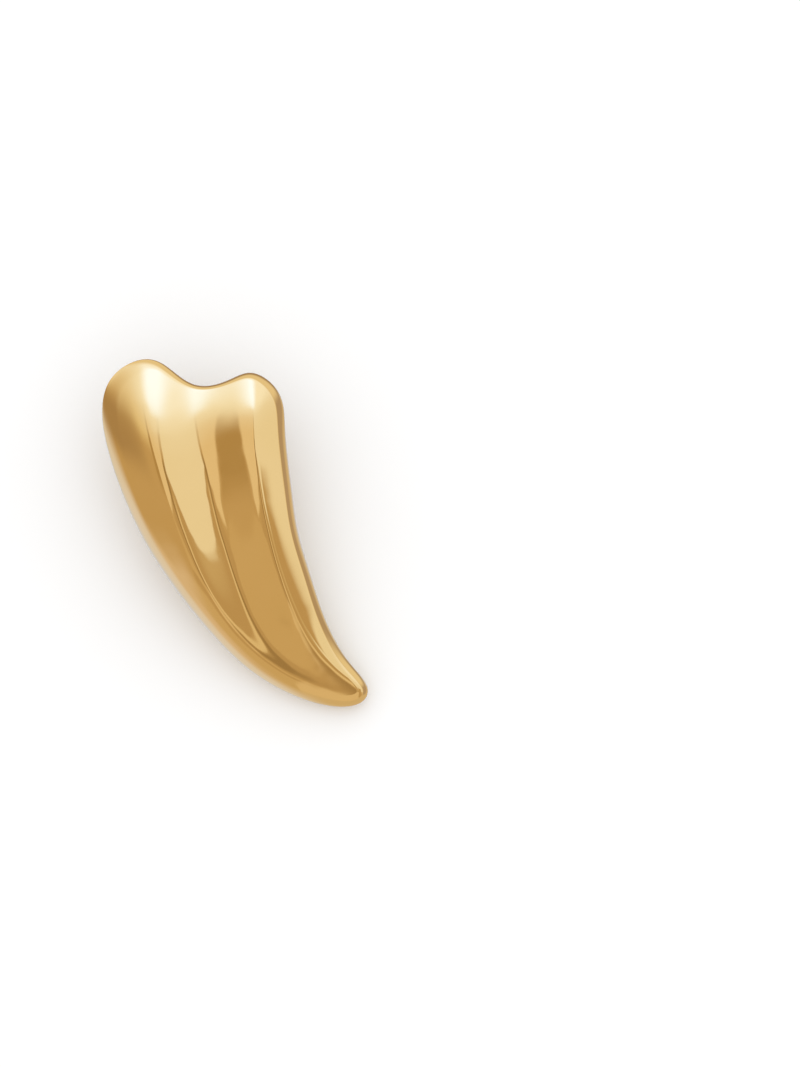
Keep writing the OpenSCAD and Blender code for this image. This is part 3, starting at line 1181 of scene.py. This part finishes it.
class FinishGroups:
    """The shader groups that both golds share.

    Attributes:
        HAZE, TONE: Where the haze and the deeper tone start and are full, on their noise.
        LINES: How the lines' noise is drawn out, how it is turned, and how much finer it is.
        HEIGHTS: Shares of the haze and of the lines in the marks' height.
        DETAIL: Detail of the noise for the haze, the lines and the tone.
    """

    HAZE, TONE = (0.35, 0.75), (0.3, 0.7)
    LINES = ((6.0, 0.6, 1.0), (0.0, 0.0, 0.4), 6.0)
    HEIGHTS = (0.7, 0.3)
    DETAIL = (4.0, 3.0, 2.0)

    def __init__(self) -> None:
        """Builds the groups once."""
        self.polish = self.polish_marks()
        self.tone = self.plate_tone()

    @staticmethod
    def noise(wiring: Wiring, scale: Value, detail: float, vector: Value) -> Field:
        """A noise between zero and one over the piece."""
        inputs = {"Vector": vector, "Scale": scale, "Detail": detail}
        return wiring.out("ShaderNodeTexNoise", inputs)

    def polish_marks(self) -> NodeTree:
        """Builds the marks that polishing leaves: a faint haze and fine lines.

        Returns:
            A group with the inputs Scale, Smooth and Worn and the outputs Roughness and Height.
        """
        wiring, given, out = new_group(
            "Polish marks",
            Tree.SHADER,
            {"Scale": "Float", "Smooth": "Float", "Worn": "Float"},
            {"Roughness": "Float", "Height": "Float"},
        )
        spot = wiring.out("ShaderNodeTexCoord", output="Object")
        stretch, turn, finer = self.LINES
        drawn = wiring.out("ShaderNodeMapping", {"Vector": spot, "Scale": stretch, "Rotation": turn})
        haze = self.noise(wiring, given["Scale"], self.DETAIL[0], spot)
        lines = self.noise(wiring, given["Scale"] * finer, self.DETAIL[1], drawn)
        rough = mix(haze.step(*self.HAZE), given["Smooth"], given["Worn"])
        wiring.feed(out.inputs["Roughness"], rough)
        wiring.feed(out.inputs["Height"], haze * self.HEIGHTS[0] + lines * self.HEIGHTS[1])
        return wiring.tree

    def plate_tone(self) -> NodeTree:
        """Builds the slow change of the plate's tone over a piece.

        Returns:
            A group with the inputs Scale, Pale and Deep and the output Color.
        """
        sockets = {"Scale": "Float", "Pale": "Color", "Deep": "Color"}
        wiring, given, out = new_group("Plate tone", Tree.SHADER, sockets, {"Color": "Color"})
        spot = wiring.out("ShaderNodeTexCoord", output="Object")
        cloud = self.noise(wiring, given["Scale"], self.DETAIL[2], spot).step(*self.TONE)
        wiring.feed(out.inputs["Color"], wiring.blend(cloud, given["Pale"], given["Deep"]))
        return wiring.tree


@dataclass(frozen=True)
class GoldPlate:
    """A gold-plated finish.

    Attributes:
        name: The material's name.
        pale: The plate's colour where it is palest.
        deep: Its colour where it is deepest.
        smooth: Roughness of the best polish.
        worn: Roughness of the haze.
        relief: Depth of the polish marks, in metres.
        TONE_SCALE: Scale of the tone's slow change.
        MARK_SCALE: Scale of the polish marks.
    """

    name: str
    pale: Colour
    deep: Colour
    smooth: float
    worn: float
    relief: float

    TONE_SCALE = 90.0
    MARK_SCALE = 700.0

    def material(self, groups: FinishGroups) -> Material:
        """Builds the material.

        Args:
            groups: The shader groups that the golds share.

        Returns:
            A metal whose colour, roughness and normal vary over the piece.
        """
        made = bpy.data.materials.new(self.name)
        wiring = Wiring.emptied(made)
        worn = {"Scale": self.MARK_SCALE, "Smooth": self.smooth, "Worn": self.worn}
        marks = wiring.node("ShaderNodeGroup", worn, node_tree=groups.polish).outputs
        tones = {"Scale": self.TONE_SCALE, "Pale": (*self.pale, 1.0), "Deep": (*self.deep, 1.0)}
        tone = wiring.out("ShaderNodeGroup", tones, node_tree=groups.tone)
        height = {"Strength": 1.0, "Distance": self.relief, "Height": marks["Height"]}
        bump = wiring.out("ShaderNodeBump", height)
        look = {"Base Color": tone, "Metallic": 1.0, "Roughness": marks["Roughness"], "Normal": bump}
        metal = wiring.out("ShaderNodeBsdfPrincipled", look)
        wiring.node("ShaderNodeOutputMaterial", {"Surface": metal})
        return made


class Gold(Enum):
    """The two golds of the earring."""

    HORN = GoldPlate(
        "horn_gold_plate", (1.0, 0.78, 0.42), (0.985, 0.765, 0.40), smooth=0.04, worn=0.07, relief=2e-8
    )
    CLIP = GoldPlate(
        "clip_gold_plate", (0.95, 0.73, 0.39), (0.9, 0.68, 0.34), smooth=0.12, worn=0.22, relief=1e-6
    )


@dataclass(frozen=True)
class Limit:
    """A soft limit on a direction: none below start along the way, all from end on."""

    way: tuple[float, float, float]
    start: float
    end: float


@dataclass(frozen=True)
class Panel:
    """A stretch of the studio's walls that the gold mirrors.

    Attributes:
        name: What it is, as its node is labelled.
        colour: Its light, as linear red, green and blue.
        limits: The soft limits of the directions that it fills.
    """

    name: str
    colour: Colour
    limits: tuple[Limit, ...]


RIGHT, LEFT = (1.0, 0.0, 0.0), (-1.0, 0.0, 0.0)
UP, DOWN = (0.0, 1.0, 0.0), (0.0, -1.0, 0.0)
DOWN_RIGHT, BEHIND = (0.80, -0.60, 0.0), (0.0, 0.0, -1.0)

PANELS = (
    Panel("low wall", (0.58, 0.43, 0.24), (Limit(DOWN, 0.42, 0.50),)),
    Panel("glow, low left", (0.67, 0.54, 0.43), (Limit(DOWN, 0.32, 0.50), Limit(LEFT, 0.30, 0.70))),
    Panel("dim wall, lower right", (0.49, 0.343, 0.178), (
        Limit(DOWN_RIGHT, -0.07, 0.0), Limit(UP, -0.48, -0.41), Limit(LEFT, -0.60, -0.45),
    )),
    Panel("warm wall, right", (0.58, 0.445, 0.26), (
        Limit(RIGHT, 0.34, 0.50), Limit(UP, -0.22, -0.08), Limit(DOWN, -0.12, 0.02),
    )),
    Panel("pale board, low middle", (0.575, 0.42, 0.23), (
        Limit(RIGHT, -0.34, -0.28), Limit(LEFT, -0.10, -0.02), Limit((-0.41, -0.91, 0.0), 0.215, 0.24),
        Limit(UP, -0.37, -0.33),
    )),
    Panel("pale board, low right", (0.68, 0.53, 0.34), (
        Limit((0.87, -0.50, 0.0), 0.185, 0.205), Limit(DOWN, 0.24, 0.28),
    )),
    Panel("pale wall, upper left", (0.74, 0.61, 0.39), (
        Limit(LEFT, 0.40, 0.46), Limit(RIGHT, -0.98, -0.65), Limit(UP, 0.12, 0.34),
    )),
    Panel("dark wall, far left", (0.39, 0.265, 0.14), (
        Limit(LEFT, 0.62, 0.90), Limit(UP, -0.20, 0.08), Limit(DOWN, -0.55, -0.25),
    )),
    Panel("dark board, left", (0.43, 0.29, 0.13), (
        Limit(RIGHT, -0.47, -0.43), Limit((-0.98, -0.20, 0.0), 0.272, 0.306), Limit(UP, -0.10, 0.04),
        Limit(DOWN, -0.52, -0.25),
    )),
    Panel("bright board with a pointed end", (0.75, 0.61, 0.42), (
        Limit((0.96, 0.28, 0.0), -0.275, -0.24), Limit(LEFT, -0.09, -0.06),
        Limit((-0.50, 0.87, 0.0), -0.005, 0.03),
    )),
    Panel("dark oval", (0.34, 0.23, 0.11), (
        Limit(RIGHT, 0.06, 0.09), Limit(LEFT, -0.17, -0.13), Limit(UP, -0.32, -0.16),
        Limit(DOWN, -0.30, -0.18),
    )),
    Panel("thin pale board", (0.71, 0.57, 0.37), (
        Limit(RIGHT, 0.16, 0.18), Limit(LEFT, -0.25, -0.22), Limit(UP, -0.32, -0.22),
        Limit(DOWN, -0.12, 0.0),
    )),
    Panel("pale board, upper right", (0.81, 0.75, 0.64), (
        Limit(RIGHT, 0.13, 0.16), Limit((0.45, 0.89, 0.0), 0.212, 0.232),
    )),
    Panel("dim wall, far right", (0.50, 0.35, 0.18), (
        Limit(RIGHT, 0.50, 0.58), Limit(LEFT, -0.95, -0.82), Limit(DOWN, -0.18, -0.09),
    )),
    Panel("light from above", (0.86, 0.84, 0.80), (Limit(UP, 0.24, 0.60), Limit(RIGHT, -0.95, -0.50))),
    Panel("wide lamp above", (0.95, 0.98, 1.05), (
        Limit(UP, 0.40, 0.60), Limit(RIGHT, -0.75, -0.25), Limit(LEFT, -0.95, -0.60),
    )),
    Panel("window above", (1.00, 1.19, 1.72), (
        Limit(UP, 0.49, 0.58), Limit(RIGHT, -0.50, -0.05), Limit(LEFT, -0.36, -0.06),
        Limit(DOWN, -0.68, -0.60),
    )),
    Panel("window's core", (1.04, 1.31, 2.10), (
        Limit((0.10, 0.99, 0.0), 0.49, 0.66), Limit(RIGHT, -0.54, -0.09), Limit(LEFT, -0.48, -0.08),
        Limit(DOWN, -1.05, -0.78),
    )),
    Panel("pale table", (0.64, 0.68, 0.80), (Limit(BEHIND, 0.25, 0.75),)),
    Panel("pale table, lower left", (0.72, 0.70, 0.78), (
        Limit(BEHIND, -0.10, 0.50), Limit((-0.72, -0.69, 0.0), 0.45, 0.75),
    )),
    Panel("warm table, lower right", (0.62, 0.49, 0.32), (
        Limit(BEHIND, -0.20, 0.0), Limit(DOWN_RIGHT, 0.10, 0.45),
    )),
    Panel("dim table, right", (0.44, 0.34, 0.26), (
        Limit(BEHIND, -0.05, 0.10), Limit((0.95, 0.30, 0.0), 0.62, 0.80),
    )),
    Panel("glow over the table, far", (0.78, 0.68, 0.50), (
        Limit(BEHIND, -0.20, 0.10), Limit(UP, 0.30, 0.55),
    )),
    Panel("dark table, far", (0.36, 0.25, 0.15), (Limit(BEHIND, 0.50, 0.80), Limit(UP, 0.25, 0.40))),
)


@dataclass
class Studio:
    """The floor, the walls' soft light and the camera.

    Attributes:
        lie: How the horn lies: the camera looks square to its face.
        middle: Horn's own x of the point in the middle of the picture.
        plane: Horn's own height that the picture's scale holds at.
        picture_tall: Height of the picture there.
        distance: The camera's distance from it.
        floor_wide: The floor's side, in metres.
        floor_grey: How pale the floor is.
        floor_rough: How matt it is.
        backdrop: Light of the walls on the floor and behind it.
        room: Light of the warm room that the gold mirrors.
        panels: What hangs in that room, each over those before it.
        SENSOR: Size of the camera's sensor, in millimetres.
        NEAR, FAR: Nearest and farthest distance that the camera sees, in metres.
    """

    lie: Lie
    middle: float = 23.74
    plane: float = 3.0
    picture_tall: float = 153.5
    distance: float = 600.0
    floor_wide: float = 5.0
    floor_grey: float = 0.93
    floor_rough: float = 0.8
    backdrop: Colour = (1.13, 1.13, 1.13)
    room: Colour = (0.53, 0.375, 0.195)
    panels: tuple[Panel, ...] = PANELS

    SENSOR = 36.0
    NEAR, FAR = 0.01, 20.0

    def walls(self) -> World:
        """Builds the studio's light: pale on the floor, and warm with panels in the gold.

        Returns:
            The world.
        """
        world = bpy.data.worlds.new("studio")
        wiring = Wiring.emptied(world)
        toward = wiring.out("ShaderNodeTexCoord", output="Generated")
        back = {"Vector": toward, "Angle": -math.radians(self.lie.angle)}
        turned = wiring.out("ShaderNodeVectorRotate", back, rotation_type="X_AXIS")
        light = (*self.room, 1.0)
        for panel in self.panels:
            light = self.hung(wiring, turned, panel, light)
        glossy = wiring.out("ShaderNodeLightPath", output="Is Glossy Ray")
        around = wiring.out("ShaderNodeBackground", {"Color": (*self.backdrop, 1.0)})
        mirrored = wiring.out("ShaderNodeBackground", {"Color": light})
        both = wiring.out("ShaderNodeMixShader", {0: glossy, 1: around, 2: mirrored})
        wiring.node("ShaderNodeOutputWorld", {"Surface": both})
        return world

    @staticmethod
    def hung(wiring: Wiring, toward: Value, panel: Panel, behind: Value) -> Field:
        """Hangs one panel over the light that is there already.

        Args:
            wiring: The world's wiring.
            toward: The direction, in the horn's own frame.
            panel: The panel.
            behind: The light without it.

        Returns:
            The light with it.
        """
        mask = None
        for limit in panel.limits:
            length = math.hypot(*limit.way)
            ways = {0: toward, 1: tuple(v / length for v in limit.way)}
            lean = wiring.out("ShaderNodeVectorMath", ways, "Value", operation="DOT_PRODUCT")
            inside = lean.step(limit.start, limit.end)
            mask = inside if mask is None else mask * inside
        return wiring.blend(mask, behind, (*panel.colour, 1.0), label=panel.name)

    def floor(self) -> None:
        """Makes the plain pale floor, kept apart from the earring's body and unseen by glossy rays."""
        half = self.floor_wide / 2
        corners = [(x * half, y * half, 0.0) for x, y in ((-1, -1), (1, -1), (1, 1), (-1, 1))]
        mesh = bpy.data.meshes.new("floor")
        mesh.from_pydata(corners, [], [(0, 1, 2, 3)])
        made = bpy.data.materials.new("pale_floor")
        wiring = Wiring.emptied(made)
        paint = {"Base Color": (*(self.floor_grey,) * 3, 1.0), "Roughness": self.floor_rough}
        matt = wiring.out("ShaderNodeBsdfPrincipled", paint)
        wiring.node("ShaderNodeOutputMaterial", {"Surface": matt})
        mesh.materials.append(made)
        floor = added("floor", mesh)
        floor.visible_glossy = False

    def camera(self, seat: Vector) -> None:
        """Makes the scene's camera, square to the horn's face.

        Args:
            seat: Where the horn's own origin lies, in metres.
        """
        turn = self.lie.turn()
        out = turn @ Vector((0.0, 0.0, 1.0))
        target = seat + turn @ Vector((self.middle, 0.0, self.plane)) * MM
        data = bpy.data.cameras.new("camera")
        data.sensor_width = self.SENSOR
        data.lens = data.sensor_width * self.distance / self.picture_tall
        data.clip_start, data.clip_end = self.NEAR, self.FAR
        camera = added("camera", data)
        camera.location = target + out * self.distance * MM
        camera.rotation_euler = (math.radians(self.lie.angle), 0.0, 0.0)
        bpy.context.scene.camera = camera

    def build(self, seat: Vector) -> None:
        """Sets up the floor, the light and the camera.

        Args:
            seat: Where the horn's own origin lies, in metres.
        """
        scene = bpy.context.scene
        scene.world = self.walls()
        scene.view_settings.view_transform = "Standard"
        self.floor()
        self.camera(seat)


def main() -> None:
    """Builds the earring and its studio."""
    logging.basicConfig(level=logging.INFO, format="%(message)s")
    lie = Lie()
    groups = FinishGroups()
    golds = {gold: gold.value.material(groups) for gold in Gold}
    horn, seat = Horn(Outline(), Relief(), Rings(), lie).build(golds[Gold.HORN])
    clip = EarClip(lie).build(golds[Gold.CLIP])
    for piece in (horn, clip):
        LOG.info("%s: %d faces", piece.name, len(piece.data.polygons))
    LOG.info("seat: %s", [round(v / MM, 4) for v in seat])
    Studio(lie).build(seat)


if __name__ == "__main__":
    main()
